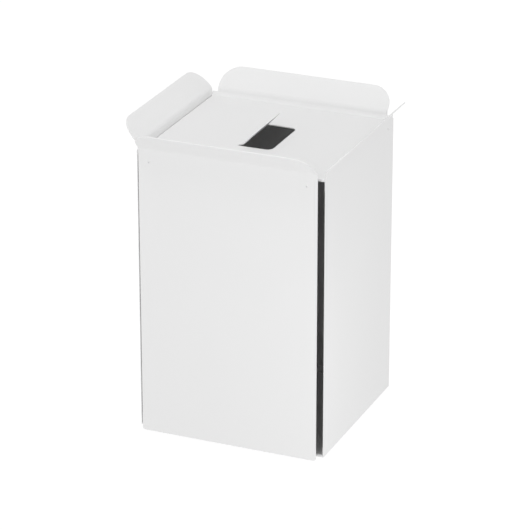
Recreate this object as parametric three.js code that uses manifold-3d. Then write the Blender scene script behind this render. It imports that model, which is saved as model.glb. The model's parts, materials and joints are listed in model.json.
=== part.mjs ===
// Dog waste bin: a folded sheet-metal box with a wing flared outward along the top of each wall, a lid with
// a post slot, a door that tips forward about its bottom edge, and a wire frame that carries the bag.
// Millimetres, +Z up, +Y towards the back. The origin is on the ground, under the middle of the whole bin.
import * as THREE from 'three';
import { mergeVertices } from 'three/addons/utils/BufferGeometryUtils.js';
import Module from 'manifold-3d';

const wasm = await Module();
wasm.setup();

// ---- Driving dimensions ----
const bodyWidth = 300; // outside the side walls
const bodyDepth = 275; // side walls' front edges to the back wall's outer face
const bendHeight = 456; // walls' lower edges to the sharp line where the wings start
const footHeight = 6; // ground to the walls' lower edges
const sheet = 1.5; // sheet thickness
const gap = 0.3; // left between neighbouring pieces

const wingLength = 41; // along the slope, from the bend's sharp line to the rim
const doorWingLength = 43; // the door's wing, which is also its handle
const wingTilt = Math.PI / 4; // from vertical
const wingCornerRadius = 33;
const wingBendRadius = 8; // inside of the bend
const sideWingInset = 3; // from a side wall's ends to its wing's ends
const backWingInset = 10; // from the body's corners to the back wing's ends
const cornerHeight = 447.5; // walls' lower edges to their top edges beside a wing

const doorOffset = 12; // the door's face in front of the side walls' front edges
const doorSideGap = 8; // each side, to the side walls' outer faces
const doorDrop = 2; // the door's lower edge below the side walls'
const doorCornerRadius = 4;

const lidHeight = 445; // walls' lower edges to the lid's top face
const lidFlange = 20; // sides and back
const lidFrontFlange = 4;
const foldRadius = 2; // outside of a lid or floor fold
const floorRise = 4; // walls' lower edges to the floor's top face
const floorFlange = 12; // turned up, at the sides and back

const slot = { left: -23, right: 31, front: -57, back: 44, cornerRadius: 10 };
const slit = { front: 4.5, back: 2.5, endRadius: 1.2 }; // the cuts beside the tab
const tabTilt = THREE.MathUtils.degToRad(47); // from the lid
const tabBendRadius = 12;
const tabLength = 30; // straight part, after the bend
const tabCornerRadius = 12;

const hingeX = 105; // middle of each hinge, from the centre plane
const hingeRise = 6; // pivot above the door's lower edge
const hingeNoseRadius = 3.4;
const earThickness = 2;
const pinRadius = 1.8;

const doorRivet = { x: 125, height: 435, headRadius: 2.2, shankRadius: 1.5 };
const sideRivet = { y: 114, height: 437 }; // y from the body's middle, height from the walls' lower edges
const keeperThickness = 1.2;
const magnet = { width: 14, height: 11 };

const wireRadius = 3;
const ring = { halfWidth: 100, front: -112, back: 115, height: 417, cornerRadius: 18 };
const holderX = 60; // clips and bearings, from the centre plane

const foot = { x: 118, front: -108, back: 110, radius: 12 };

// ---- Places worked out from them, in the body's own frame: y = 0 halfway along the side walls ----
const wallBase = footHeight;
const frontEdge = -bodyDepth / 2;
const backFace = bodyDepth / 2;
const doorFace = frontEdge - doorOffset;
const doorBack = doorFace + sheet;
const lidTop = wallBase + lidHeight;
const lidUnderside = lidTop - sheet;
const floorTop = wallBase + floorRise;
const floorUnderside = floorTop - sheet;
const innerHalfWidth = bodyWidth / 2 - sheet - gap; // outer faces of what fits between the side walls
const innerBack = backFace - sheet - gap;
const innerFront = frontEdge + gap;
const pivot = { y: doorBack + gap + hingeNoseRadius, z: wallBase - doorDrop + hingeRise };
const rivetZ = wallBase + doorRivet.height;
const ringZ = wallBase + ring.height;

const arcSegments = 10;
const roundSides = 24;
const alongX = new THREE.Vector3(1, 0, 0);
const alongY = new THREE.Vector3(0, 1, 0);
const alongZ = new THREE.Vector3(0, 0, 1);

// ---- Solids ----
function toSolid(geometry) {
  const bare = geometry.clone();
  bare.deleteAttribute('normal');
  bare.deleteAttribute('uv');
  const merged = mergeVertices(bare, 1e-4);
  const vertProperties = merged.attributes.position.array;
  const triVerts = new Uint32Array(merged.index.array);
  return new wasm.Manifold(new wasm.Mesh({ numProp: 3, vertProperties, triVerts }));
}

function toGeometry(solid) {
  const { vertProperties, triVerts } = solid.getMesh();
  const geometry = new THREE.BufferGeometry();
  geometry.setAttribute('position', new THREE.BufferAttribute(vertProperties, 3));
  geometry.setIndex(new THREE.BufferAttribute(triVerts, 1));
  const faceted = geometry.toNonIndexed();
  faceted.computeVertexNormals();
  return faceted;
}

function join(...geometries) {
  return toGeometry(geometries.map(toSolid).reduce((whole, piece) => whole.add(piece)));
}

function cut(geometry, ...tools) {
  return toGeometry(tools.map(toSolid).reduce((rest, tool) => rest.subtract(tool), toSolid(geometry)));
}

// A box from its limits along x, y and z.
function block([x0, x1], [y0, y1], [z0, z1]) {
  const box = new THREE.BoxGeometry(x1 - x0, y1 - y0, z1 - z0);
  return box.translate((x0 + x1) / 2, (y0 + y1) / 2, (z0 + z1) / 2);
}

// An outline in the plane of two directions u and v through an origin, thickened along u x v.
function prism(outline, depth, origin, u, v) {
  const options = { depth, bevelEnabled: false, curveSegments: arcSegments };
  const frame = new THREE.Matrix4().makeBasis(u, v, new THREE.Vector3().crossVectors(u, v));
  return new THREE.ExtrudeGeometry(outline, options).applyMatrix4(frame.setPosition(origin));
}

// A round bar centred on a point, along a direction.
function bar(radius, length, centre, direction) {
  const turn = new THREE.Quaternion().setFromUnitVectors(alongY, direction);
  const cylinder = new THREE.CylinderGeometry(radius, radius, length, roundSides);
  return cylinder.applyQuaternion(turn).translate(...centre);
}

// A turned piece from its outline of [radius, distance] corners, with distance measured along a direction.
function turned(corners, origin, direction) {
  const profile = corners.map(([radius, distance]) => new THREE.Vector2(radius, distance));
  const turn = new THREE.Quaternion().setFromUnitVectors(alongY, direction);
  return new THREE.LatheGeometry(profile, roundSides).applyQuaternion(turn).translate(...origin);
}

// ---- Outlines ----
// The waste outside a rounded corner at (u, v), which points along the signs su and sv.
function cornerWaste(u, v, su, sv, radius) {
  const outline = new THREE.Shape();
  outline.moveTo(u + su, v - sv * radius);
  outline.lineTo(u, v - sv * radius);
  const start = su > 0 ? 0 : Math.PI;
  const end = sv > 0 ? Math.PI / 2 : (su > 0 ? -1 : 3) * Math.PI / 2;
  outline.absarc(u - su * radius, v - sv * radius, radius, start, end, su * sv < 0);
  outline.lineTo(u - su * radius, v + sv);
  outline.lineTo(u + su, v + sv);
  return outline;
}

// A rectangle whose left and right corners have their own radii.
function roundedRectangle(x0, x1, y0, y1, leftRadius, rightRadius) {
  const outline = new THREE.Shape();
  outline.moveTo(x0 + leftRadius, y0);
  outline.lineTo(x1 - rightRadius, y0);
  outline.absarc(x1 - rightRadius, y0 + rightRadius, rightRadius, -Math.PI / 2, 0, false);
  outline.lineTo(x1, y1 - rightRadius);
  outline.absarc(x1 - rightRadius, y1 - rightRadius, rightRadius, 0, Math.PI / 2, false);
  outline.lineTo(x0 + leftRadius, y1);
  outline.absarc(x0 + leftRadius, y1 - leftRadius, leftRadius, Math.PI / 2, Math.PI, false);
  outline.lineTo(x0, y0 + leftRadius);
  outline.absarc(x0 + leftRadius, y0 + leftRadius, leftRadius, Math.PI, 1.5 * Math.PI, false);
  return outline;
}

// ---- Walls: each is a flat sheet whose top is bent outward into a wing with rounded corners ----
// Side view of a wall. x points outward from its outer face and y up from its lower edge.
function wallProfile(height, wing) {
  const tangent = wingBendRadius * Math.tan(wingTilt / 2);
  const centre = [wingBendRadius, height - tangent];
  const rim = [wing * Math.sin(wingTilt), height + wing * Math.cos(wingTilt)];
  const profile = new THREE.Shape();
  profile.moveTo(0, 0);
  profile.lineTo(0, height - tangent);
  profile.absarc(...centre, wingBendRadius, Math.PI, Math.PI - wingTilt, true);
  profile.lineTo(...rim);
  profile.lineTo(rim[0] - sheet * Math.cos(wingTilt), rim[1] + sheet * Math.sin(wingTilt));
  profile.absarc(...centre, wingBendRadius + sheet, Math.PI - wingTilt, Math.PI, false);
  profile.lineTo(-sheet, 0);
  return profile;
}

// A wall in its own frame: +X outward, outer face at x = 0, lower edge at z = 0, centred on y = 0.
function wall({ width, height, wing, wingInset }) {
  const half = width / 2;
  const wingEnd = half - wingInset;
  const alongWing = new THREE.Vector3(Math.sin(wingTilt), 0, Math.cos(wingTilt));
  const throughWing = new THREE.Vector3().crossVectors(alongY, alongWing);
  const wingOrigin = new THREE.Vector3(0, 0, height).addScaledVector(throughWing, -sheet - 1);
  const whole = prism(wallProfile(height, wing), width, new THREE.Vector3(0, half, 0), alongX, alongZ);
  const tools = [-1, 1].map((side) => {
    const waste = cornerWaste(side * wingEnd, wing, side, 1, wingCornerRadius);
    return prism(waste, sheet + 2, wingOrigin, alongY, alongWing);
  });
  if (wingInset > 0) {
    const beside = [cornerHeight, height + wing];
    const reach = [-sheet - 1, wing];
    tools.push(block(reach, [wingEnd, half + 1], beside), block(reach, [-half - 1, -wingEnd], beside));
  }
  return cut(whole, ...tools);
}

// The right-hand side wall, in the body's frame. The left one is its mirror image.
function sideWall() {
  const plain = wall({ width: bodyDepth, height: bendHeight, wing: wingLength, wingInset: sideWingInset });
  plain.translate(bodyWidth / 2, 0, wallBase);
  return cut(plain, rivetHole([bodyWidth / 2, sideRivet.y, wallBase + sideRivet.height], alongX));
}

function backWall() {
  const width = 2 * innerHalfWidth;
  const wingInset = backWingInset - (bodyWidth / 2 - innerHalfWidth);
  const plain = wall({ width, height: bendHeight, wing: wingLength, wingInset }).rotateZ(Math.PI / 2);
  plain.translate(0, backFace, wallBase);
  const fixings = [-110, 110].flatMap((x) => [80, 400].map((z) => bar(4.25, 10, [x, backFace, z], alongY)));
  return cut(plain, ...fixings);
}

function door() {
  const width = bodyWidth - 2 * doorSideGap;
  const height = bendHeight + doorDrop;
  const plain = wall({ width, height, wing: doorWingLength, wingInset: 0 }).rotateZ(-Math.PI / 2);
  plain.translate(0, doorFace, wallBase - doorDrop);
  const origin = new THREE.Vector3(0, doorBack + 1, 0);
  const bottomCorners = [-1, 1].map((side) => {
    const waste = cornerWaste(side * width / 2, wallBase - doorDrop, side, -1, doorCornerRadius);
    return prism(waste, sheet + 2, origin, alongX, alongZ);
  });
  const holes = [-1, 1].map((side) => rivetHole([side * doorRivet.x, doorFace, rivetZ], alongY));
  return cut(plain, ...bottomCorners, ...holes);
}

function rivetHole(centre, direction) {
  return bar(doorRivet.shankRadius + gap, 20, centre, direction);
}

// ---- Lid and floor: flat plates with folded edges. The front and back ones run the full width. ----
// A folded edge in its own frame: the flange's outer face at x = 0, the plate's top face at z = 0.
function foldedEdge(length, height, upward) {
  const lap = 3 * foldRadius;
  const profile = new THREE.Shape();
  profile.moveTo(-lap, 0);
  profile.lineTo(-foldRadius, 0);
  profile.absarc(-foldRadius, -foldRadius, foldRadius, Math.PI / 2, 0, true);
  profile.lineTo(0, -height);
  profile.lineTo(-sheet, -height);
  profile.lineTo(-sheet, -foldRadius);
  profile.absarc(-foldRadius, -foldRadius, foldRadius - sheet, 0, Math.PI / 2, false);
  profile.lineTo(-lap, -sheet);
  const edge = prism(profile, length, new THREE.Vector3(0, length / 2, 0), alongX, alongZ);
  return upward ? edge.rotateX(Math.PI).translate(0, 0, -sheet) : edge;
}

// A plate between the walls with its top face at z = top. Each flange is { height, upward }.
function foldedPlate(top, flanges) {
  const relief = foldRadius + 1; // keeps the side flanges clear of the other two
  const midY = (innerFront + innerBack) / 2;
  const across = 2 * innerHalfWidth;
  const along = innerBack - innerFront - 2 * relief;
  const edge = ({ height, upward }, length, turn, x, y) =>
    foldedEdge(length, height, upward).rotateZ(turn).translate(x, y, top);
  return join(
    block(
      [-innerHalfWidth + foldRadius, innerHalfWidth - foldRadius].map((x) => x - Math.sign(x)),
      [innerFront + relief, innerBack - relief],
      [top - sheet, top],
    ),
    edge(flanges.side, along, 0, innerHalfWidth, midY),
    edge(flanges.side, along, Math.PI, -innerHalfWidth, midY),
    edge(flanges.back, across, Math.PI / 2, 0, innerBack),
    edge(flanges.front, across, -Math.PI / 2, 0, innerFront),
  );
}

// The tab is cut on three sides and bent up about its left edge, over the slot.
function slotTab() {
  const start = slot.left;
  const bendEnd = [start + tabBendRadius * Math.sin(tabTilt), tabBendRadius * (1 - Math.cos(tabTilt))];
  const tip = [bendEnd[0] + tabLength * Math.cos(tabTilt), bendEnd[1] + tabLength * Math.sin(tabTilt)];
  const profile = new THREE.Shape();
  profile.moveTo(start - 2, 0);
  profile.lineTo(start, 0);
  profile.absarc(start, tabBendRadius, tabBendRadius, -Math.PI / 2, tabTilt - Math.PI / 2, false);
  profile.lineTo(...tip);
  profile.lineTo(tip[0] + sheet * Math.sin(tabTilt), tip[1] - sheet * Math.cos(tabTilt));
  profile.absarc(start, tabBendRadius, tabBendRadius + sheet, tabTilt - Math.PI / 2, -Math.PI / 2, true);
  profile.lineTo(start - 2, -sheet);
  const [front, back] = [slot.front + slit.front, slot.back - slit.back];
  const origin = new THREE.Vector3(0, back, lidTop);
  const strip = prism(profile, back - front, origin, alongX, alongZ);
  const alongTab = new THREE.Vector3(Math.cos(tabTilt), 0, Math.sin(tabTilt));
  const throughTab = new THREE.Vector3().crossVectors(alongTab, alongY);
  const middle = (front + back) / 2;
  const wasteOrigin = new THREE.Vector3(bendEnd[0], middle, lidTop + bendEnd[1]);
  wasteOrigin.addScaledVector(throughTab, -sheet - 1);
  const corners = [-1, 1].map((side) => {
    const waste = cornerWaste(tabLength, side * (back - front) / 2, 1, side, tabCornerRadius);
    return prism(waste, sheet + 2, wasteOrigin, alongTab, alongY);
  });
  return cut(strip, ...corners);
}

function lid() {
  const sides = { height: lidFlange, upward: false };
  const plate = foldedPlate(lidTop, {
    side: sides,
    back: sides,
    front: { height: lidFrontFlange, upward: false },
  });
  const outline = roundedRectangle(
    slot.left, slot.right, slot.front, slot.back, slit.endRadius, slot.cornerRadius,
  );
  const opening = prism(outline, 3 * sheet, new THREE.Vector3(0, 0, lidTop - 2 * sheet), alongX, alongY);
  const rivetZone = [-1, 1].map((side) => {
    const centre = [side * innerHalfWidth, sideRivet.y, wallBase + sideRivet.height];
    return rivetHole(centre, alongX);
  });
  return join(cut(plate, opening, ...rivetZone), slotTab());
}

function floorTray() {
  const turnedUp = { height: floorFlange, upward: true };
  const plate = foldedPlate(floorTop, {
    side: turnedUp,
    back: turnedUp,
    front: { height: floorRise, upward: false },
  });
  const drains = [-40, 40].flatMap((x) => [-50, 60].map((y) => bar(4, 10, [x, y, floorTop], alongZ)));
  const screws = footPlaces.map(([x, y]) => bar(2.3, 10, [x, y, floorTop], alongZ));
  const rivets = [-1, 1].map((side) => {
    return rivetHole([side * bracketRivet.x, bracketRivet.y, floorTop], alongZ);
  });
  return cut(plate, ...drains, ...screws, ...rivets);
}

// ---- Door hinges, right-hand ones ----
const bracketRivet = { x: hingeX - 6, y: frontEdge + 14 };
const earInner = hingeX - gap / 2 - earThickness;
const earOuter = hingeX + gap / 2;

// The ear reaches forward over the floor's front fold and ends in a nose round the pivot.
function hingeBracket() {
  const base = floorTop + gap;
  const back = frontEdge + 22;
  const step = frontEdge - 0.5;
  const ear = new THREE.Shape();
  ear.moveTo(pivot.y, pivot.z + hingeNoseRadius);
  ear.absarc(pivot.y, pivot.z, hingeNoseRadius, Math.PI / 2, 1.5 * Math.PI, false);
  ear.lineTo(step, pivot.z - hingeNoseRadius);
  ear.lineTo(step, base);
  ear.lineTo(back, base);
  ear.lineTo(back, base + 6);
  ear.lineTo(back - 8, pivot.z + hingeNoseRadius);
  const upright = prism(ear, earThickness, new THREE.Vector3(earOuter, 0, 0), alongY, alongZ);
  const plate = block([hingeX - 11, hingeX + 8], [frontEdge + 1, back], [base, base + sheet]);
  const holes = [pinHole(), rivetHole([bracketRivet.x, bracketRivet.y, base], alongZ)];
  return cut(join(upright, plate), ...holes);
}

// The leaf lies against the door's back, and its ear turns beside the bracket's.
function hingeLeaf() {
  const front = doorBack + gap;
  const noseBack = pivot.y + hingeNoseRadius;
  const bottom = pivot.z + hingeNoseRadius + 1;
  const top = bottom + 26;
  const ear = new THREE.Shape();
  ear.moveTo(pivot.y - hingeNoseRadius, top - 4);
  ear.lineTo(pivot.y - hingeNoseRadius, pivot.z);
  ear.absarc(pivot.y, pivot.z, hingeNoseRadius, Math.PI, 2 * Math.PI, false);
  ear.lineTo(noseBack, top - 14);
  ear.lineTo(front + sheet, top - 4);
  const upright = prism(ear, earThickness, new THREE.Vector3(earInner, 0, 0), alongY, alongZ);
  const plate = block([hingeX - 11, hingeX + 9], [front, front + sheet], [bottom, top]);
  return cut(join(upright, plate), pinHole());
}

function pinHole() {
  return bar(pinRadius + gap, 20, [hingeX, pivot.y, pivot.z], alongX);
}

// A pin with a head at its inner end and a riveted collar at the other.
function hingePin() {
  const length = 2 * earThickness + 3 * gap;
  const origin = [earInner - gap, pivot.y, pivot.z];
  const collar = pinRadius + 1;
  return turned(
    [
      [0, -1.2], [collar, -1.2], [collar, 0], [pinRadius, 0],
      [pinRadius, length], [collar, length], [collar, length + 1], [0, length + 1],
    ],
    origin,
    alongX,
  );
}

// ---- Rivets and screws ----
// A blind rivet: a low domed head, a shank through a stack of sheets, and a formed tail behind them.
function rivet({ head, shank, stack, tail, origin, direction }) {
  const corners = [
    [0, -0.7], [0.55 * head, -0.6], [0.9 * head, -0.3], [head, 0], [shank, 0], [shank, stack],
  ];
  if (tail > 0) corners.push([tail, stack], [tail, stack + 0.8], [0.6 * tail, stack + 1.4]);
  corners.push([0, corners[corners.length - 1][1]]);
  return turned(corners, origin, direction);
}

function doorRivetPiece() {
  return rivet({
    head: doorRivet.headRadius,
    shank: doorRivet.shankRadius,
    stack: sheet + 2 * gap + keeperThickness,
    tail: 0,
    origin: [doorRivet.x, doorFace - gap, rivetZ],
    direction: alongY,
  });
}

function sideRivetPiece() {
  return rivet({
    head: doorRivet.headRadius,
    shank: doorRivet.shankRadius,
    stack: 2 * sheet + 3 * gap,
    tail: 2.8,
    origin: [bodyWidth / 2 + gap, sideRivet.y, wallBase + sideRivet.height],
    direction: alongX.clone().negate(),
  });
}

function bracketRivetPiece() {
  return rivet({
    head: 3.4,
    shank: doorRivet.shankRadius,
    stack: 2 * sheet + 3 * gap,
    tail: 2.8,
    origin: [bracketRivet.x, bracketRivet.y, floorTop + 2 * gap + sheet],
    direction: alongZ.clone().negate(),
  });
}

// ---- Door catches, right-hand ones ----
const catchPlate = innerFront + foldRadius + 0.1; // front face of the catch's bracket, behind the lid's fold

function catchBracket() {
  const top = lidUnderside - gap;
  const half = magnet.width / 2;
  const limits = [doorRivet.x - half, doorRivet.x + half];
  const upright = block(limits, [catchPlate, catchPlate + sheet], [rivetZ - 14, top]);
  const flat = block(limits, [catchPlate, catchPlate + 22], [top - sheet, top]);
  return join(upright, flat);
}

function catchMagnet() {
  const half = magnet.width / 2;
  return block(
    [doorRivet.x - half, doorRivet.x + half],
    [doorBack + gap + keeperThickness + gap, catchPlate - gap],
    [rivetZ - 10, rivetZ - 10 + magnet.height],
  );
}

function keeper() {
  const front = doorBack + gap;
  const outline = roundedRectangle(doorRivet.x - 9, doorRivet.x + 7, rivetZ - 10, rivetZ + 6, 2, 2);
  const origin = new THREE.Vector3(0, front + keeperThickness, 0);
  const plate = prism(outline, keeperThickness, origin, alongX, alongZ);
  return cut(plate, rivetHole([doorRivet.x, front, rivetZ], alongY));
}

// ---- Bag frame ----
// The wire's centre line: a rounded rectangle that starts and ends at the middle of its rear bar.
class RingPath extends THREE.Curve {
  constructor() {
    super();
    const radius = ring.cornerRadius;
    const seam = 0.6;
    const corners = [
      [ring.halfWidth - radius, ring.back - radius, Math.PI / 2],
      [ring.halfWidth - radius, ring.front + radius, 0],
      [-ring.halfWidth + radius, ring.front + radius, -Math.PI / 2],
      [-ring.halfWidth + radius, ring.back - radius, -Math.PI],
    ];
    this.stops = [new THREE.Vector3(seam, ring.back, ringZ)];
    for (const [x, y, start] of corners) {
      for (let step = 0; step <= 5; step++) {
        const angle = start - (step / 5) * Math.PI / 2;
        this.stops.push(new THREE.Vector3(x + radius * Math.cos(angle), y + radius * Math.sin(angle), ringZ));
      }
    }
    this.stops.push(new THREE.Vector3(-seam, ring.back, ringZ));
  }

  getPointAt(share) {
    return this.stops[Math.round(share * (this.stops.length - 1))].clone();
  }

  getTangentAt(share) {
    const last = this.stops.length - 1;
    const here = Math.round(share * last);
    const before = this.stops[Math.max(here - 1, 0)];
    const after = this.stops[Math.min(here + 1, last)];
    const inward = this.stops[here].clone().sub(before).normalize();
    const outward = after.clone().sub(this.stops[here]).normalize();
    return inward.add(outward).normalize();
  }
}

function bagFrame() {
  const section = new THREE.Shape();
  section.absarc(0, 0, wireRadius, 0, 2 * Math.PI, false);
  const path = new RingPath();
  const steps = path.stops.length - 1;
  return new THREE.ExtrudeGeometry(section, { steps, extrudePath: path, curveSegments: arcSegments });
}

// A bearing on the back wall for the rear bar.
function frameBracket() {
  const front = innerBack - sheet;
  const nose = wireRadius + 3;
  const ear = new THREE.Shape();
  ear.moveTo(innerBack - 0.5, ringZ + nose);
  ear.lineTo(ring.back, ringZ + nose);
  ear.absarc(ring.back, ringZ, nose, Math.PI / 2, 1.5 * Math.PI, false);
  ear.lineTo(innerBack - 0.5, ringZ - nose - 10);
  const upright = prism(ear, earThickness, new THREE.Vector3(holderX, 0, 0), alongY, alongZ);
  const plate = block([holderX - 7, holderX + 9], [front, innerBack], [ringZ - nose - 12, ringZ + nose + 1]);
  return cut(join(upright, plate), bar(wireRadius + gap, 20, [holderX, ring.back, ringZ], alongX));
}

// A fork under the lid, open downward, that grips the front bar.
function frameClip() {
  const jaw = 1.2;
  const inner = wireRadius + gap;
  const top = lidUnderside - gap;
  const y = ring.front;
  const fork = new THREE.Shape();
  fork.moveTo(y - inner, ringZ - 4);
  fork.lineTo(y - inner, ringZ + inner);
  fork.lineTo(y + inner, ringZ + inner);
  fork.lineTo(y + inner, ringZ - 4);
  fork.lineTo(y + inner + jaw, ringZ - 4);
  fork.lineTo(y + inner + jaw, ringZ + inner + jaw);
  fork.lineTo(y + jaw, ringZ + inner + jaw);
  fork.lineTo(y + jaw, top - jaw);
  fork.lineTo(y + 14, top - jaw);
  fork.lineTo(y + 14, top);
  fork.lineTo(y, top);
  fork.lineTo(y, ringZ + inner + jaw);
  fork.lineTo(y - inner - jaw, ringZ + inner + jaw);
  fork.lineTo(y - inner - jaw, ringZ - 4);
  return prism(fork, 10, new THREE.Vector3(holderX - 5, 0, 0), alongY, alongZ);
}

// ---- Feet ----
const footPlaces = [-foot.x, foot.x].flatMap((x) => [foot.front, foot.back].map((y) => [x, y]));

function rubberFoot([x, y]) {
  const top = floorUnderside - gap;
  const body = turned(
    [[0, 0], [foot.radius - 1, 0], [foot.radius, 1], [foot.radius - 1.5, top], [0, top]],
    [x, y, 0],
    alongZ,
  );
  return cut(body, bar(2.3, 12, [x, y, 9], alongZ));
}

function footScrew([x, y]) {
  return turned(
    [[0, 0], [2, 0], [2, 7], [4, 7], [4, 8.4], [3, 9.2], [0, 9.4]],
    [x, y, floorTop + gap - 7],
    alongZ,
  );
}

// ---- Materials ----
const finishes = {
  coat: { color: 0xf0f0ee, roughness: 0.45, metalness: 0 },
  steel: { color: 0xb4b6b8, roughness: 0.35, metalness: 1 },
  wire: { color: 0xc4c6c8, roughness: 0.28, metalness: 1 },
  magnet: { color: 0x2a2b2d, roughness: 0.6, metalness: 0 },
  rubber: { color: 0x1d1d1f, roughness: 0.85, metalness: 0 },
};

function mesh(name, finish, geometry) {
  const piece = new THREE.Mesh(geometry, new THREE.MeshStandardMaterial(finishes[finish]));
  piece.name = name;
  return piece;
}

// A right-hand piece and its mirror image.
function pair(name, finish, geometry) {
  const left = mesh(name + '_left', finish, geometry);
  left.scale.x = -1;
  return [mesh(name + '_right', finish, geometry), left];
}

// ---- Assembly ----
const walls = new THREE.Group();
const [rightPanel, leftPanel] = pair('panel', 'coat', sideWall());
rightPanel.name = 'right_panel';
leftPanel.name = 'left_panel';
walls.add(rightPanel, leftPanel, mesh('back_panel', 'coat', backWall()));
walls.add(mesh('lid', 'coat', lid()), mesh('floor_tray', 'coat', floorTray()));
walls.add(...pair('side_rivet', 'coat', sideRivetPiece()));

const doorSet = new THREE.Group();
doorSet.add(mesh('door', 'coat', door()));
doorSet.add(...pair('door_rivet', 'coat', doorRivetPiece()), ...pair('keeper', 'steel', keeper()));
doorSet.add(...pair('hinge_leaf', 'coat', hingeLeaf()));

const hinges = new THREE.Group();
hinges.add(...pair('hinge_bracket', 'steel', hingeBracket()), ...pair('hinge_pin', 'steel', hingePin()));
hinges.add(...pair('bracket_rivet', 'steel', bracketRivetPiece()));

const catches = new THREE.Group();
catches.add(...pair('catch_bracket', 'steel', catchBracket()));
catches.add(...pair('catch_magnet', 'magnet', catchMagnet()));

const bagHolder = new THREE.Group();
bagHolder.add(mesh('bag_frame', 'wire', bagFrame()), ...pair('frame_bracket', 'steel', frameBracket()));
bagHolder.add(...pair('frame_clip', 'steel', frameClip()));

const feet = new THREE.Group();
footPlaces.forEach((place, index) => {
  feet.add(mesh(`foot_${index + 1}`, 'rubber', rubberFoot(place)));
  feet.add(mesh(`foot_screw_${index + 1}`, 'steel', footScrew(place)));
});

// The door stands out at the front, so the middle of the whole bin is ahead of the side walls' middle.
const bin = new THREE.Group();
bin.position.y = (doorOffset + (doorWingLength - wingLength) * Math.sin(wingTilt)) / 2;
bin.add(walls, doorSet, hinges, catches, bagHolder, feet);

const root = new THREE.Group();
root.add(bin);
export default root;
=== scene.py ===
"""The looks of the dog waste bin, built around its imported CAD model. Metres, in the model's own frame."""
import json
import math

import bmesh
import bpy
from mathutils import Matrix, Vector


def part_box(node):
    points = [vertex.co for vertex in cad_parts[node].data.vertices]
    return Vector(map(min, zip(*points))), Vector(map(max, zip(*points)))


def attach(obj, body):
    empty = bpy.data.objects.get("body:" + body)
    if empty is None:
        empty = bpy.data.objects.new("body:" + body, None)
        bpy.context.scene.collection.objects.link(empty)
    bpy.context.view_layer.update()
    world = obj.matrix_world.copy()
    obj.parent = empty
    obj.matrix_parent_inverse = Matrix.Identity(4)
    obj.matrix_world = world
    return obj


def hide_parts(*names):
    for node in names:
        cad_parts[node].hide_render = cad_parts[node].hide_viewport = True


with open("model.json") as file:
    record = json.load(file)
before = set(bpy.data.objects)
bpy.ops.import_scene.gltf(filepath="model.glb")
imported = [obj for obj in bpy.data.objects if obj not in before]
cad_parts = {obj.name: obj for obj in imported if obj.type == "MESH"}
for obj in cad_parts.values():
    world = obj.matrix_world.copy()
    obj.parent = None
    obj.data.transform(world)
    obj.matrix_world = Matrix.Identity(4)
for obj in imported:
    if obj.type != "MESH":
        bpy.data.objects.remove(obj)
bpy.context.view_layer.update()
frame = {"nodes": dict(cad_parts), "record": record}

MM = 0.001
UP = Vector((0, 0, 1))
SIDES = (("left", -1), ("right", 1))

# ---- Camera: where it stands and looks, with its lens and sensor in millimetres ----
VIEW_AZIMUTH = math.radians(22.94)
VIEW_ELEVATION = math.radians(22.78)
VIEW_DISTANCE = 4.581
VIEW_TARGET = Vector((0, -0.0007, 0.2435))
VIEW_LENS = 205.0
VIEW_SENSOR = 36
VIEW_NEAREST = 0.1
VIEW_FARTHEST = 100

# ---- Studio: the sky's brightness in a direction is its level plus the tilt along that direction ----
SKY_LEVEL = 0.77
SKY_TILT = (0.08, 0.08, -0.12)
FLOOR_SIZE = 40
FLOOR_GREY = 0.10
FLOOR_GLOW = 0.96

# ---- Paint: the white of the coat, and the darker grey inside the cabinet, which is painted shade ----
COAT_WHITE = 0.87
INSIDE_SHADE_GREY = 0.68

# ---- Sheets ----
SHEET = 1.5 * MM
GAP = 0.3 * MM
LID_FLANGE = 20 * MM

# ---- How the CAD pieces' meshes are cleaned and their edges rounded ----
MERGE_DISTANCE = 0.002 * MM
FLAT_ANGLE = math.radians(0.5)
ROUNDED_ANGLE = math.radians(40)
EDGE_ROUNDING = 0.3 * MM
EDGE_SEGMENTS = 2
NORMAL_WEIGHT = 80

# ---- Pieces in mesh code. A turned shape's end is a cap of this small radius, not a point ----
CREASE_ANGLE = math.radians(35)
TURNED_SIDES = 48
CAP = 0.1 * MM

# ---- Rivets ----
RIVET_SHANK = 1.5 * MM
RIVET_BORE = 0.8 * MM
RIVET_BORE_DEPTH = 1.1 * MM
RIVET_BORE_LIP = 0.1 * MM
RIVET_LIP_DEPTH = 0.15 * MM
RIVET_STEM = 0.6 * MM
RIVET_STEM_TOP = 0.6 * MM
RIVET_STEM_SIDES = 24
RIVET_HEAD_HEIGHT = 1.0 * MM
RIVET_DOME_STEPS = 8
SMALL_RIVET_HEAD = 2.2 * MM
LARGE_RIVET_HEAD = 3.4 * MM
RIVET_TAIL = 2.8 * MM
RIVET_TAIL_LENGTH = 1.4 * MM

# ---- Bag frame: its bent wire, and the bead of the butt weld that closes it ----
FRAME_CORNER = 18 * MM
FRAME_CORNER_STEPS = 12
WIRE_SIDES = 28
BEAD_HALF_LENGTH = 3 * MM
BEAD_RISE = 0.5 * MM
BEAD_RIPPLE = 0.12 * MM
BEAD_SINK = 0.3 * MM
BEAD_STEPS = 12
BEAD_SIDES = 32

# ---- Hinge pins ----
PIN_SHOULDER = 1 * MM
PIN_HEAD = 1.2 * MM
PIN_COLLAR = 1 * MM

# ---- Feet: a sole ring's place and width are shares of the radius, a side groove's place of the height ----
SOLE_HOLLOW = 0.5 * MM
SOLE_RINGS = (0.50, 0.68, 0.86)
SOLE_RING_DEPTH = 0.4 * MM
SOLE_RING_MOUTH = 0.025
SOLE_RING_FLOOR = 0.015
FOOT_CORNER = 1 * MM
FOOT_CORNER_STEPS = 5
FOOT_TAPER = 1.2 * MM
SIDE_GROOVES = (0.30, 0.55)
SIDE_GROOVE_DEPTH = 0.7 * MM
FOOT_BORE = 2.3 * MM
FOOT_BORE_FLOOR = 3 * MM
FOOT_SIDES = 64

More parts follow.
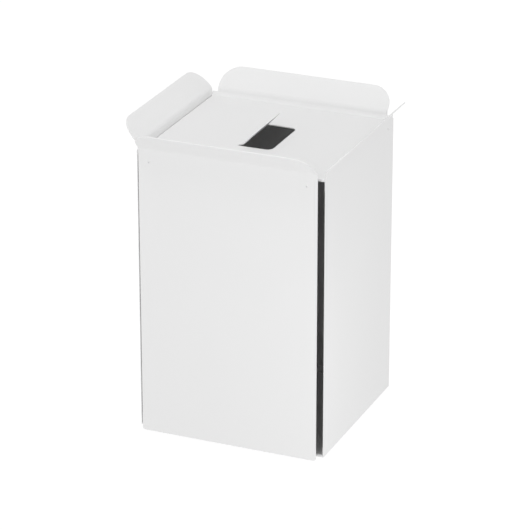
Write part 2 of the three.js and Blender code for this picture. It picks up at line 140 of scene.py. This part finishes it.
# ---- Foot screws ----
SCREW_HEAD_HEIGHT = 2.4 * MM
SCREW_RECESS = 1.3 * MM
SCREW_SIDES = 96
THREAD_PITCH = 0.8 * MM
THREAD_START = 0.6 * MM
THREAD_CLEARANCE = 1 * MM

# ---- Catch magnets ----
HOUSING_ROUNDING = 0.8 * MM
POLE_PROUD = 0.8 * MM
POLE_INSET = 2.2 * MM
POLE_PLATE = 1.4 * MM
POLE_DEPTH = 4 * MM
POLE_ROUNDING = 0.25 * MM

# ---- Stitch welds: the taper is a share of a bead's length, the end, ripple and stand-off of its radius ----
WELD_RADIUS = 1.5 * MM
WELD_LENGTH = 25 * MM
WELD_MARGIN = 15 * MM
WELD_TAPER = 0.125
WELD_END = 0.25
WELD_RIPPLE = 0.10
WELD_RIPPLES = 10
WELD_STAND_OFF = 0.6
WELD_STEPS = 40
WELD_SIDES = 16
WELDS_PER_CORNER = 5

# ---- Lid seam ----
SEAM_REACH = 3.2 * MM
SEAM_HEIGHT = 6 * MM
SEAM_HOLLOW = 0.3 * MM
SEAM_STEPS = 12
SEAM_SINK = 0.8 * MM
SEAM_OVERLAP = 0.1 * MM


# ---- Materials ----
# A Mix node has a pair of inputs for each kind of value, so its colour sockets are known by their places.
MIX_FIRST_COLOUR = 6
MIX_SECOND_COLOUR = 7
MIX_COLOUR = 2


def grey(level):
    return (level, level, level)


class Graph:
    """A material's node tree, with short ways to add and join nodes."""

    def __init__(self, name):
        self.material = bpy.data.materials.new(name)
        self.material.use_nodes = True
        self.tree = self.material.node_tree
        self.shader = self.tree.nodes["Principled BSDF"]
        self.place = self.node("ShaderNodeTexCoord").outputs["Object"]

    def node(self, kind, **settings):
        made = self.tree.nodes.new(kind)
        for key, value in settings.items():
            setattr(made, key, value)
        return made

    def join(self, source, target):
        self.tree.links.new(source, target)

    def noise(self, cells, detail=2.0, roughness=0.5, stretch=(1, 1, 1)):
        """Noise with this many cells to a metre."""
        mapping = self.node("ShaderNodeMapping")
        mapping.inputs["Scale"].default_value = stretch
        self.join(self.place, mapping.inputs["Vector"])
        made = self.node("ShaderNodeTexNoise")
        made.inputs["Scale"].default_value = cells
        made.inputs["Detail"].default_value = detail
        made.inputs["Roughness"].default_value = roughness
        self.join(mapping.outputs["Vector"], made.inputs["Vector"])
        return made.outputs["Fac"]

    def ranged(self, source, low, high, start=0.0, end=1.0):
        """source between start and end, spread over low to high."""
        made = self.node("ShaderNodeMapRange")
        made.inputs["From Min"].default_value = start
        made.inputs["From Max"].default_value = end
        made.inputs["To Min"].default_value = low
        made.inputs["To Max"].default_value = high
        self.join(source, made.inputs["Value"])
        return made.outputs["Result"]

    def blend(self, factor, first, second):
        """A colour between two, each a colour or another node's output."""
        made = self.node("ShaderNodeMix", data_type="RGBA")
        self.join(factor, made.inputs["Factor"])
        for place, value in ((MIX_FIRST_COLOUR, first), (MIX_SECOND_COLOUR, second)):
            if isinstance(value, bpy.types.NodeSocket):
                self.join(value, made.inputs[place])
            else:
                made.inputs[place].default_value = (*value, 1.0)
        return made.outputs[MIX_COLOUR]

    def vector(self, operation, first, second=None):
        """A vector operation on a node's output and, where it takes two, a fixed vector."""
        made = self.node("ShaderNodeVectorMath", operation=operation)
        self.join(first, made.inputs[0])
        if second is not None:
            made.inputs[1].default_value = second
        return made.outputs["Vector"]

    def inside_box(self, low, high, blur):
        """1 inside a box given by its corners, fading to 0 over a short way outside it."""
        centre = (low + high) / 2
        offset = self.vector("SUBTRACT", self.place, centre)
        beyond = self.vector("SUBTRACT", self.vector("ABSOLUTE", offset), (high - low) / 2)
        parts = self.node("ShaderNodeSeparateXYZ")
        self.join(beyond, parts.inputs["Vector"])
        farthest = parts.outputs["X"]
        for name in "YZ":
            larger = self.node("ShaderNodeMath", operation="MAXIMUM")
            self.join(farthest, larger.inputs[0])
            self.join(parts.outputs[name], larger.inputs[1])
            farthest = larger.outputs["Value"]
        return self.ranged(farthest, low=1.0, high=0.0, start=0.0, end=blur)

    def edge(self, radius, start, end):
        """1 along the edges, where the rounded normal leaves the true one, and 0 elsewhere."""
        rounded = self.node("ShaderNodeBevel", samples=6)
        rounded.inputs["Radius"].default_value = radius
        true_normal = self.node("ShaderNodeNewGeometry").outputs["Normal"]
        likeness = self.node("ShaderNodeVectorMath", operation="DOT_PRODUCT")
        self.join(rounded.outputs["Normal"], likeness.inputs[0])
        self.join(true_normal, likeness.inputs[1])
        return self.ranged(likeness.outputs["Value"], low=1.0, high=0.0, start=start, end=end)

    def bump(self, height, strength, distance):
        made = self.node("ShaderNodeBump")
        made.inputs["Strength"].default_value = strength
        made.inputs["Distance"].default_value = distance
        self.join(height, made.inputs["Height"])
        return made.outputs["Normal"]

    def finish(self, colour, roughness, normal, metallic=0.0):
        self.join(colour, self.shader.inputs["Base Color"])
        self.join(roughness, self.shader.inputs["Roughness"])
        self.join(normal, self.shader.inputs["Normal"])
        self.shader.inputs["Metallic"].default_value = metallic
        return self.material


def cabinet_inside():
    """The corners of the space inside the cabinet, reaching just into the faces round it."""
    overlap = 0.1 * MM
    behind_front = 0.2 * MM
    margin = GAP + overlap
    low, high = map(Vector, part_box("lid"))
    floor_low, _ = map(Vector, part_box("floor_tray"))
    low_corner = Vector((low.x - margin, low.y + behind_front, floor_low.z))
    high_corner = Vector((high.x + margin, high.y + margin, low.z + LID_FLANGE - SHEET + overlap))
    return low_corner, high_corner


def powder_coat():
    """White satin powder coat: faint clouds, orange peel and a painted highlight along the edges. Inside, a
    darker patchy grey that is painted shade.
    """
    graph = Graph("powder_coat")
    clouds = graph.noise(cells=9, detail=3)
    colour = graph.blend(clouds, grey(COAT_WHITE * 0.992), grey(COAT_WHITE * 1.008))
    specks = graph.ranged(graph.noise(cells=1400, detail=1), low=0.0, high=0.5, start=0.66, end=0.8)
    colour = graph.blend(specks, colour, grey(COAT_WHITE * 0.93))
    # Painted highlight: the edges are painted lighter than the coat.
    edges = graph.edge(radius=0.8 * MM, start=0.45, end=0.95)
    colour = graph.blend(edges, colour, grey(COAT_WHITE * 1.05))
    # Painted shade: the inside of the cabinet is painted a darker, patchy grey.
    patches = graph.noise(cells=30, detail=5)
    painted_inside_shade = graph.blend(patches, grey(INSIDE_SHADE_GREY * 0.9), grey(INSIDE_SHADE_GREY * 1.1))
    inside = graph.inside_box(*cabinet_inside(), blur=0.2 * MM)
    colour = graph.blend(inside, colour, painted_inside_shade)
    roughness = graph.ranged(graph.noise(cells=35, detail=4), low=0.40, high=0.50)
    peel = graph.noise(cells=520, detail=2, roughness=0.4)
    return graph.finish(colour, roughness, graph.bump(peel, strength=0.12, distance=0.10 * MM))


def zinc():
    """Zinc-plated steel: fine rolling lines, a patchy sheen and brighter rubbed edges."""
    graph = Graph("zinc_plate")
    patches = graph.noise(cells=140, detail=4)
    colour = graph.blend(patches, (0.52, 0.53, 0.55), (0.64, 0.645, 0.65))
    edges = graph.edge(radius=0.4 * MM, start=0.8, end=0.99)
    colour = graph.blend(edges, colour, (0.74, 0.74, 0.75))
    roughness = graph.ranged(patches, low=0.26, high=0.44, start=0.3, end=0.7)
    lines = graph.noise(cells=900, detail=2, stretch=(0.05, 1, 1))
    relief = graph.bump(lines, strength=0.2, distance=0.02 * MM)
    return graph.finish(colour, roughness, relief, metallic=1.0)


def drawn_wire():
    """Bright drawn wire: fine scratches along its bars and a little tarnish."""
    graph = Graph("drawn_wire")
    tarnish = graph.noise(cells=60, detail=4)
    colour = graph.blend(tarnish, (0.60, 0.61, 0.62), (0.70, 0.705, 0.71))
    roughness = graph.ranged(tarnish, low=0.20, high=0.36, start=0.3, end=0.7)
    scratches = graph.noise(cells=2500, detail=2, stretch=(0.08, 0.08, 1))
    relief = graph.bump(scratches, strength=0.25, distance=0.02 * MM)
    return graph.finish(colour, roughness, relief, metallic=1.0)


def magnet_black():
    """Black moulded magnet housing with a fine grain and greyer edges."""
    graph = Graph("magnet_black")
    grain = graph.noise(cells=1200, detail=2)
    colour = graph.blend(grain, (0.022, 0.022, 0.024), (0.036, 0.036, 0.038))
    edges = graph.edge(radius=0.5 * MM, start=0.8, end=0.99)
    colour = graph.blend(edges, colour, (0.07, 0.07, 0.072))
    roughness = graph.ranged(graph.noise(cells=200), low=0.45, high=0.62)
    return graph.finish(colour, roughness, graph.bump(grain, strength=0.3, distance=0.03 * MM))


def rubber():
    """Moulded black rubber: dull, with a fine pitted skin and dust in the rubbed edges."""
    graph = Graph("rubber_black")
    dust = graph.noise(cells=90, detail=5, roughness=0.65)
    colour = graph.blend(dust, (0.018, 0.018, 0.019), (0.040, 0.039, 0.038))
    edges = graph.edge(radius=0.6 * MM, start=0.8, end=0.99)
    colour = graph.blend(edges, colour, (0.075, 0.073, 0.07))
    roughness = graph.ranged(dust, low=0.7, high=0.9)
    pits = graph.noise(cells=1800)
    return graph.finish(colour, roughness, graph.bump(pits, strength=0.35, distance=0.04 * MM))


MATERIALS = {
    "coat": powder_coat(),
    "steel": zinc(),
    "wire": drawn_wire(),
    "magnet": magnet_black(),
    "rubber": rubber(),
}


# ---- The CAD pieces that show: finely rounded edges and their own material ----
def round_edges(obj):
    """Joins the mesh's triangles into whole faces and rounds its edges, all in modifiers."""
    weld = obj.modifiers.new("weld", "WELD")
    weld.merge_threshold = MERGE_DISTANCE
    faces = obj.modifiers.new("whole_faces", "DECIMATE")
    faces.decimate_type = "DISSOLVE"
    faces.angle_limit = FLAT_ANGLE
    rounding = obj.modifiers.new("rounding", "BEVEL")
    rounding.width = EDGE_ROUNDING
    rounding.segments = EDGE_SEGMENTS
    rounding.limit_method = "ANGLE"
    rounding.angle_limit = ROUNDED_ANGLE
    rounding.use_clamp_overlap = True
    normals = obj.modifiers.new("normals", "WEIGHTED_NORMAL")
    normals.mode = "FACE_AREA"
    normals.weight = NORMAL_WEIGHT


def dress_cad_nodes():
    slots = {part["node"]: part["material_slot"] for part in frame["record"]["subparts"]}
    for name, obj in frame["nodes"].items():
        obj.data.materials.clear()
        obj.data.materials.append(MATERIALS[slots[name]])
        obj.data.polygons.foreach_set("use_smooth", [True] * len(obj.data.polygons))
        round_edges(obj)


# ---- Pieces in mesh code ----
def add_piece(name, bm, slot, body, replaced=None):
    """A smooth-shaded piece from a bmesh, on a body, which may stand for a CAD node."""
    bmesh.ops.recalc_face_normals(bm, faces=bm.faces)
    mesh = bpy.data.meshes.new(name)
    bm.to_mesh(mesh)
    bm.free()
    mesh.polygons.foreach_set("use_smooth", [True] * len(mesh.polygons))
    mesh.set_sharp_from_angle(angle=CREASE_ANGLE)
    mesh.materials.append(MATERIALS[slot])
    piece = bpy.data.objects.new(name, mesh)
    bpy.context.scene.collection.objects.link(piece)
    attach(piece, body)
    if replaced is not None:
        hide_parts(replaced)


def loft(bm, rings, closed=False):
    """Faces between neighbouring rings of points. The end rings are capped unless the loft is closed."""
    loops = [[bm.verts.new(point) for point in ring] for ring in rings]
    count = len(loops[0])
    following = loops[1:] + loops[:1] if closed else loops[1:]
    for first, second in zip(loops, following):
        for i in range(count):
            j = (i + 1) % count
            bm.faces.new((first[i], first[j], second[j], second[i]))
    if not closed:
        bm.faces.new(loops[0])
        bm.faces.new(loops[-1])


def circle(centre, radius, first, second, sides):
    """Points round a circle in the plane of two unit directions."""
    angles = [2 * math.pi * i / sides for i in range(sides)]
    return [centre + radius * (math.cos(a) * first + math.sin(a) * second) for a in angles]


def add_turned(name, slot, body, profile, origin, direction, sides=TURNED_SIDES, replaced=None):
    """A turned piece from (radius, distance) pairs. A radius may be a function of the angle."""
    spin = Vector(direction).to_track_quat("Z", "Y")
    rings = []
    for radius, distance in profile:
        ring = []
        for i in range(sides):
            angle = 2 * math.pi * i / sides
            reach = radius(angle) if callable(radius) else radius
            ring.append(origin + spin @ Vector((reach * math.cos(angle), reach * math.sin(angle), distance)))
        rings.append(ring)
    bm = bmesh.new()
    loft(bm, rings)
    add_piece(name, bm, slot, body, replaced)


def arc(centre, radius, start, end, steps):
    """Points on an arc in a profile, with angles in degrees from the outward direction."""
    angles = [math.radians(start + (end - start) * i / steps) for i in range(steps + 1)]
    return [(centre[0] + radius * math.cos(a), centre[1] + radius * math.sin(a)) for a in angles]


def rounded_block(bm, low, high, rounding):
    """A block with rounded edges."""
    made = bmesh.ops.create_cube(bm, size=1)["verts"]
    for vertex in made:
        vertex.co = Vector((high[i] if vertex.co[i] > 0 else low[i] for i in range(3)))
    edges = list({edge for vertex in made for edge in vertex.link_edges})
    bmesh.ops.bevel(bm, geom=edges, offset=rounding, segments=3, profile=0.5, affect="EDGES")


# ---- Blind rivets: a domed head, the broken steel stem sunk in it, and a set tail behind the sheets ----
def rivet_head(head):
    """The profile from the bottom of the bore, out over the dome and back in to the shank."""
    wall = RIVET_BORE - RIVET_BORE_LIP
    profile = [(CAP, RIVET_BORE_DEPTH), (wall, RIVET_BORE_DEPTH), (wall, RIVET_LIP_DEPTH)]
    for step in range(1, RIVET_DOME_STEPS + 1):
        turned_by = math.radians(90 * step / RIVET_DOME_STEPS)
        reach = RIVET_BORE + (head - RIVET_BORE) * math.sin(turned_by)
        profile.append((reach, RIVET_HEAD_HEIGHT * (1 - math.cos(turned_by))))
    profile.append((RIVET_SHANK, RIVET_HEAD_HEIGHT))
    return profile


def rivet_end(length, tail):
    """The far end of the profile. A tail of radius 0 leaves the shank plain."""
    if tail == 0:
        return [(RIVET_SHANK, length), (CAP, length)]
    tail_start = length - RIVET_TAIL_LENGTH
    tail_middle = length - 0.5 * RIVET_TAIL_LENGTH
    outside = [(RIVET_SHANK, tail_start), (tail, tail_start), (tail, tail_middle)]
    return outside + [(0.6 * tail, length), (CAP, length)]


def rivet_stem():
    """The stem's slightly domed broken end, and its side down past the bottom of the bore."""
    foot = RIVET_BORE_DEPTH + 0.1 * MM
    dome = [(CAP, RIVET_STEM_TOP), (0.6 * RIVET_STEM, RIVET_STEM_TOP + 0.04 * MM)]
    return dome + [(RIVET_STEM, RIVET_STEM_TOP + 0.2 * MM), (RIVET_STEM, foot), (CAP, foot)]


def add_rivet(node, body, slot, direction, head, tail):
    """A rivet set along a direction. head and tail are radii."""
    low, high = map(Vector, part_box(node))
    direction = Vector(direction)
    length = abs((high - low).dot(direction))
    start = (low + high) / 2 - direction * length / 2
    profile = rivet_head(head) + rivet_end(length, tail)
    add_turned(f"{node}_turned", slot, body, profile, start, direction, replaced=node)
    add_turned(f"{node}_stem", "steel", body, rivet_stem(), start, direction, RIVET_STEM_SIDES)


def add_rivets():
    for side, sign in SIDES:
        add_rivet(f"door_rivet_{side}", "door", "coat", (0, 1, 0), SMALL_RIVET_HEAD, 0)
        add_rivet(f"side_rivet_{side}", "cabinet", "coat", (-sign, 0, 0), SMALL_RIVET_HEAD, RIVET_TAIL)
        add_rivet(f"bracket_rivet_{side}", "cabinet", "steel", (0, 0, -1), LARGE_RIVET_HEAD, RIVET_TAIL)


# ---- Bag frame: one bent wire, butt-welded in the middle of its rear bar ----
def frame_path(middle, half_x, half_y):
    """Points along the wire's centre line, each with the direction out of the ring there."""
    path = []
    for quarter in range(4):
        sign_x = 1 if quarter in (0, 3) else -1
        sign_y = 1 if quarter < 2 else -1
        corner = middle + Vector((sign_x * (half_x - FRAME_CORNER), sign_y * (half_y - FRAME_CORNER), 0))
        for step in range(FRAME_CORNER_STEPS + 1):
            angle = math.pi / 2 * (quarter + step / FRAME_CORNER_STEPS)
            outward = Vector((math.cos(angle), math.sin(angle), 0))
            path.append((corner + FRAME_CORNER * outward, outward))
    return path


def weld_bead(radius):
    """The rippled profile of a butt weld round a wire of this radius, centred on 0."""
    bead = [(radius - BEAD_SINK, -BEAD_HALF_LENGTH)]
    for step in range(1, BEAD_STEPS):
        share = step / BEAD_STEPS
        rise = BEAD_RISE * math.sin(math.pi * share) + BEAD_RIPPLE * (-1) ** step
        bead.append((radius + rise, BEAD_HALF_LENGTH * (2 * share - 1)))
    bead.append((radius - BEAD_SINK, BEAD_HALF_LENGTH))
    return bead


def add_bag_frame():
    low, high = map(Vector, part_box("bag_frame"))
    radius = (high.z - low.z) / 2
    middle = (low + high) / 2
    half_x = (high.x - low.x) / 2 - radius
    half_y = (high.y - low.y) / 2 - radius
    path = frame_path(middle, half_x, half_y)
    rings = [circle(point, radius, outward, UP, WIRE_SIDES) for point, outward in path]
    bm = bmesh.new()
    loft(bm, rings, closed=True)
    add_piece("bag_frame_wire", bm, "wire", "bag_frame", "bag_frame")

    rear_middle = Vector((middle.x, high.y - radius, middle.z))
    add_turned("bag_frame_weld", "wire", "bag_frame", weld_bead(radius), rear_middle, (1, 0, 0), BEAD_SIDES)


# ---- Hinge pins: a domed head at the inner end and a peened collar at the other ----
def add_hinge_pin(side, sign):
    node = f"hinge_pin_{side}"
    low, high = map(Vector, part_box(node))
    length = high.x - low.x
    head = (high.z - low.z) / 2
    shank = head - PIN_SHOULDER
    collar_start = length - PIN_COLLAR
    start = (low + high) / 2 - Vector((sign * length / 2, 0, 0))
    dome = [(CAP, 0), (0.5 * head, 0.1 * MM), (0.8 * head, 0.4 * MM), (head, PIN_HEAD - 0.3 * MM)]
    shaft = [(head, PIN_HEAD), (shank, PIN_HEAD), (shank, collar_start)]
    collar = [(head, collar_start), (head, length - 0.5 * PIN_COLLAR)]
    peened = [(0.8 * head, length - 0.1 * MM), (0.3 * head, length), (0.2 * head, length - 0.3 * MM)]
    profile = dome + shaft + collar + peened
    add_turned(f"{node}_turned", "steel", "cabinet", profile, start, (sign, 0, 0), replaced=node)


# ---- Feet: moulded rubber with side grooves and a ringed sole, each held by a cross-recessed screw ----
def foot_sole(radius):
    """The profile of the sole, from its hollow middle out over its rings."""
    profile = [(CAP, SOLE_HOLLOW), (0.30 * radius, SOLE_HOLLOW), (0.34 * radius, 0)]
    groove = [(-SOLE_RING_MOUTH, 0), (-SOLE_RING_FLOOR, SOLE_RING_DEPTH)]
    groove += [(SOLE_RING_FLOOR, SOLE_RING_DEPTH), (SOLE_RING_MOUTH, 0)]
    for share in SOLE_RINGS:
        profile += [((share + offset) * radius, depth) for offset, depth in groove]
    return profile


def foot_side(radius, height):
    """The profile of the side, from its rounded lower corner up past its grooves."""
    corner = (radius - FOOT_CORNER, FOOT_CORNER)
    profile = arc(corner, FOOT_CORNER, start=-80, end=0, steps=FOOT_CORNER_STEPS)
    for share in SIDE_GROOVES:
        waist = radius - FOOT_TAPER * share
        bottom = share * height
        profile += [(waist, bottom), (waist - SIDE_GROOVE_DEPTH, bottom + 0.3 * MM)]
        profile += [(waist - SIDE_GROOVE_DEPTH, bottom + 0.8 * MM), (waist, bottom + 1.1 * MM)]
    return profile


def foot_top(radius, height):
    """The profile of the top, from its chamfer in to the mouth of the bore and down to its floor."""
    chamfer = [(radius - 1.5 * MM, height - 0.3 * MM), (radius - 1.8 * MM, height)]
    return chamfer + [(FOOT_BORE, height), (FOOT_BORE, FOOT_BORE_FLOOR), (CAP, FOOT_BORE_FLOOR)]


def add_foot(index):
    node = f"foot_{index}"
    low, high = map(Vector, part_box(node))
    radius = (high.x - low.x) / 2
    height = high.z - low.z
    profile = foot_sole(radius) + foot_side(radius, height) + foot_top(radius, height)
    base = Vector(((low.x + high.x) / 2, (low.y + high.y) / 2, low.z))
    add_turned(f"{node}_moulding", "rubber", "cabinet", profile, base, UP, FOOT_SIDES, node)


def cross_outline(reach, half_width):
    """The radius of a four-armed cross as a function of the angle."""

    def radius(angle):
        off_arm = (angle + math.pi / 4) % (math.pi / 2) - math.pi / 4
        return min(reach / math.cos(off_arm), half_width / max(abs(math.sin(off_arm)), 1e-6))

    return radius


def screw_thread(shank, seat):
    """The profile from the screw's tip up its thread to just below its seat."""
    profile = [(CAP, 0), (0.7 * shank, 0.2 * MM)]
    turns = int((seat - THREAD_CLEARANCE) / THREAD_PITCH)
    for index in range(turns):
        base = THREAD_START + THREAD_PITCH * index
        profile += [(shank, base), (0.8 * shank, base + 0.5 * THREAD_PITCH)]
    profile.append((shank, seat - 0.2 * MM))
    return profile


def screw_head(head, seat, height):
    """The profile of the pan head and the cross-shaped recess in its top."""
    side = [(head - 0.2 * MM, seat), (head, seat + 0.3 * MM), (head, seat + 1.0 * MM)]
    dome = [(0.92 * head, seat + 1.5 * MM), (0.78 * head, seat + 2.0 * MM), (0.62 * head, height)]
    mouth = cross_outline(0.50 * head, 0.10 * head)
    floor = cross_outline(0.30 * head, 0.07 * head)
    return side + dome + [(mouth, height - 0.02 * MM), (floor, height - SCREW_RECESS)]


def add_foot_screw(index):
    node = f"foot_screw_{index}"
    low, high = map(Vector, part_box(node))
    head = (high.x - low.x) / 2
    height = high.z - low.z
    seat = height - SCREW_HEAD_HEIGHT
    profile = screw_thread(head / 2, seat) + screw_head(head, seat, height)
    centre = (low + high) / 2
    tip = Vector((centre.x, centre.y, low.z))
    add_turned(f"{node}_pan_head", "steel", "cabinet", profile, tip, UP, SCREW_SIDES, node)


# ---- Magnets: a plastic housing with two steel pole plates that meet the keeper ----
def add_magnet(side):
    node = f"catch_magnet_{side}"
    low, high = map(Vector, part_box(node))
    bm = bmesh.new()
    rounded_block(bm, Vector((low.x, low.y + POLE_PROUD, low.z)), high, HOUSING_ROUNDING)
    add_piece(f"{node}_housing", bm, "magnet", "cabinet", node)

    bm = bmesh.new()
    for z in (low.z + POLE_INSET, high.z - POLE_INSET - POLE_PLATE):
        plate_low = Vector((low.x + POLE_INSET, low.y, z))
        plate_high = Vector((high.x - POLE_INSET, low.y + POLE_DEPTH, z + POLE_PLATE))
        rounded_block(bm, plate_low, plate_high, POLE_ROUNDING)
    add_piece(f"{node}_pole_plates", bm, "steel", "cabinet")


# ---- Stitch welds in the cabinet's inside corners, painted over ----
def add_stitch(bm, start, inward):
    """A rippled bead up a corner, tapered at both ends. inward points away from the corner."""
    across = UP.cross(inward)
    rings = []
    for step in range(WELD_STEPS + 1):
        share = step / WELD_STEPS
        fullness = min(1, share / WELD_TAPER, (1 - share) / WELD_TAPER)
        ripple = 1 + WELD_RIPPLE * math.sin(2 * math.pi * WELD_RIPPLES * share)
        radius = WELD_RADIUS * (WELD_END + (1 - WELD_END) * math.sqrt(fullness)) * ripple
        centre = start + UP * (WELD_LENGTH * share) + inward * WELD_RADIUS * WELD_STAND_OFF
        rings.append(circle(centre, radius, inward, across, WELD_SIDES))
    loft(bm, rings)


def add_welds():
    lid_low, lid_high = map(Vector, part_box("lid"))
    _, floor_high = map(Vector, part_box("floor_tray"))
    bottom = floor_high.z + WELD_MARGIN
    top = lid_low.z - WELD_MARGIN - WELD_LENGTH
    bm = bmesh.new()
    for _, sign in SIDES:
        inward = Vector((-sign, -1, 0)).normalized()
        corner = Vector((sign * (lid_high.x + GAP), lid_high.y + GAP, 0))
        for i in range(WELDS_PER_CORNER):
            height = bottom + (top - bottom) * i / (WELDS_PER_CORNER - 1)
            add_stitch(bm, corner + height * UP, inward)
    add_piece("corner_welds", bm, "coat", "cabinet")


def add_lid_seam():
    """A slightly hollow weld that keeps rain out between the lid's back edge and the back wall."""
    low, high = map(Vector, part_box("lid"))
    corner_y = high.y + GAP
    lid_top = low.z + LID_FLANGE
    face = []
    for step in range(SEAM_STEPS + 1):
        share = step / SEAM_STEPS
        sunk = SEAM_HOLLOW * math.sin(math.pi * share)
        face.append((corner_y - SEAM_REACH * share + sunk, lid_top + SEAM_HEIGHT * (1 - share) - sunk))
    bottom = lid_top - SEAM_SINK
    back_y = corner_y + SEAM_OVERLAP
    behind = [(corner_y - SEAM_REACH, lid_top - SEAM_OVERLAP), (corner_y - 1.2 * MM, bottom)]
    behind += [(back_y, bottom), (back_y, lid_top + SEAM_HEIGHT)]
    end_x = high.x + 0.2 * MM
    bm = bmesh.new()
    loft(bm, [[Vector((x, y, z)) for y, z in face + behind] for x in (-end_x, end_x)])
    add_piece("lid_seam", bm, "coat", "cabinet")


dress_cad_nodes()
add_rivets()
add_bag_frame()
for side, sign in SIDES:
    add_hinge_pin(side, sign)
    add_magnet(side)
for index in range(1, 5):
    add_foot(index)
    add_foot_screw(index)
add_welds()
add_lid_seam()


# ---- Floor, light and camera ----
def make_floor():
    """A plain floor that looks white to the camera and sends no light to the object. The sky below the
    horizon lights the object in its place."""
    bpy.ops.mesh.primitive_plane_add(size=FLOOR_SIZE, location=(0, 0, 0))
    floor = bpy.context.object
    floor.name = "floor"
    material = bpy.data.materials.new("floor_white")
    material.use_nodes = True
    shader = material.node_tree.nodes["Principled BSDF"]
    shader.inputs["Base Color"].default_value = (*grey(FLOOR_GREY), 1)
    shader.inputs["Roughness"].default_value = 1.0
    shader.inputs["Specular IOR Level"].default_value = 0.0
    shader.inputs["Emission Color"].default_value = (1, 1, 1, 1)
    shader.inputs["Emission Strength"].default_value = FLOOR_GLOW
    floor.data.materials.append(material)
    floor.visible_diffuse = False
    floor.visible_glossy = False


def make_sky():
    """A white studio all round, a little brighter below, behind and to the right."""
    world = bpy.data.worlds.new("studio")
    bpy.context.scene.world = world
    world.use_nodes = True
    tree = world.node_tree
    direction = tree.nodes.new("ShaderNodeTexCoord").outputs["Generated"]
    towards_tilt = tree.nodes.new("ShaderNodeVectorMath")
    towards_tilt.operation = "DOT_PRODUCT"
    towards_tilt.inputs[1].default_value = SKY_TILT
    tree.links.new(direction, towards_tilt.inputs[0])
    strength = tree.nodes.new("ShaderNodeMath")
    strength.inputs[1].default_value = SKY_LEVEL
    tree.links.new(towards_tilt.outputs["Value"], strength.inputs[0])
    background = tree.nodes["Background"]
    background.inputs["Color"].default_value = (1, 1, 1, 1)
    tree.links.new(strength.outputs["Value"], background.inputs["Strength"])


def area_light(name, location, aim, size, power):
    """A square soft light of this size in metres and power in watts."""
    data = bpy.data.lights.new(name, "AREA")
    data.size = size
    data.energy = power
    light = bpy.data.objects.new(name, data)
    light.visible_camera = False
    light.location = location
    light.rotation_mode = "QUATERNION"
    light.rotation_quaternion = (Vector(aim) - Vector(location)).to_track_quat("-Z", "Y")
    bpy.context.scene.collection.objects.link(light)


def make_lights():
    area_light("front_soft", location=(0.5, -3.3, 1.7), aim=(0, 0, 0.25), size=1.6, power=14.5)
    area_light("top_soft", location=(-0.1, -0.5, 2.7), aim=(0, 0, 0.45), size=1.4, power=11.5)
    area_light("low_front", location=(-0.3, -2.6, 0.45), aim=(0, 0, 0.35), size=0.8, power=5.5)
    area_light("near_right", location=(0.5, -0.32, 0.16), aim=(0.15, -0.12, 0.05), size=0.3, power=0.3)


def make_camera():
    data = bpy.data.cameras.new("camera")
    data.lens = VIEW_LENS
    data.sensor_width = VIEW_SENSOR
    data.clip_start = VIEW_NEAREST
    data.clip_end = VIEW_FARTHEST
    camera = bpy.data.objects.new("camera", data)
    back = Vector((
        math.sin(VIEW_AZIMUTH) * math.cos(VIEW_ELEVATION),
        -math.cos(VIEW_AZIMUTH) * math.cos(VIEW_ELEVATION),
        math.sin(VIEW_ELEVATION),
    ))
    camera.location = VIEW_TARGET + back * VIEW_DISTANCE
    camera.rotation_mode = "QUATERNION"
    camera.rotation_quaternion = (-back).to_track_quat("-Z", "Y")
    bpy.context.scene.collection.objects.link(camera)
    bpy.context.scene.camera = camera


make_floor()
make_sky()
make_lights()
make_camera()
bpy.context.scene.view_settings.view_transform = "Standard"
bpy.context.scene.view_settings.look = "None"
